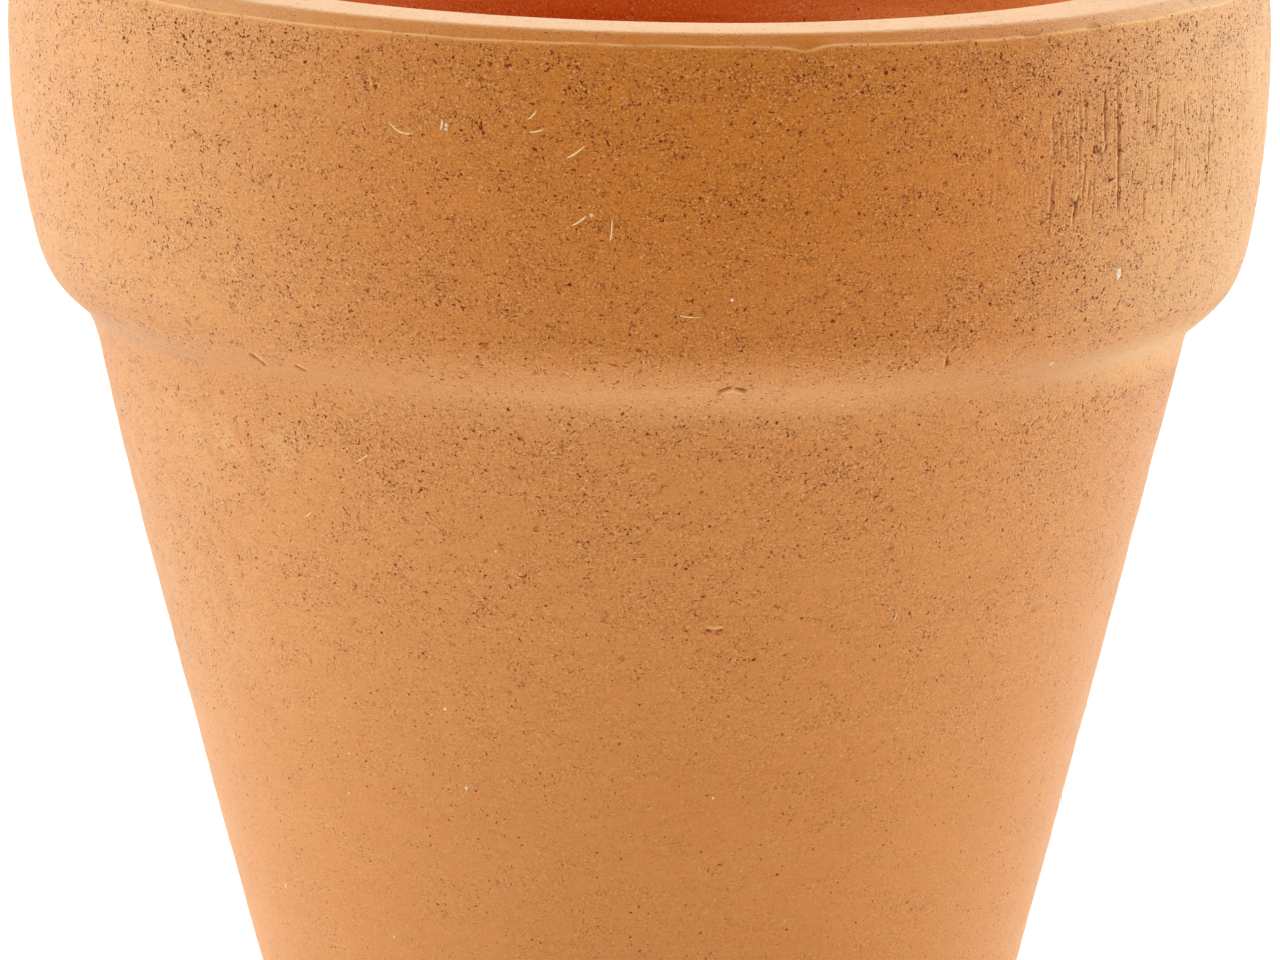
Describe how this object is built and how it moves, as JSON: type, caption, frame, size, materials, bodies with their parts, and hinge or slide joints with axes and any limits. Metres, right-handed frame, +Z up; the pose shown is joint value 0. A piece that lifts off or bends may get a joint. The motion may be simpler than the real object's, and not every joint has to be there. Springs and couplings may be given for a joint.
{
  "type": "terracotta flower pot",
  "caption": "Round tapered terracotta flower pot with a thick collar at the mouth and a drain hole in its flat base.",
  "frame": {"origin": "centre of the flat base, on the surface that the pot stands on", "axes": "+Z up along the pot's axis, towards the mouth; +X and +Y are free, because the pot is round"},
  "size_m": [0.11, 0.11, 0.098],
  "materials": {
    "terracotta": "unglazed fired clay, matt and finely gritty, with pinholes and a faint pale bloom"
  },
  "bodies": {
    "root": {"pot": "terracotta"}
  },
  "joints": []
}
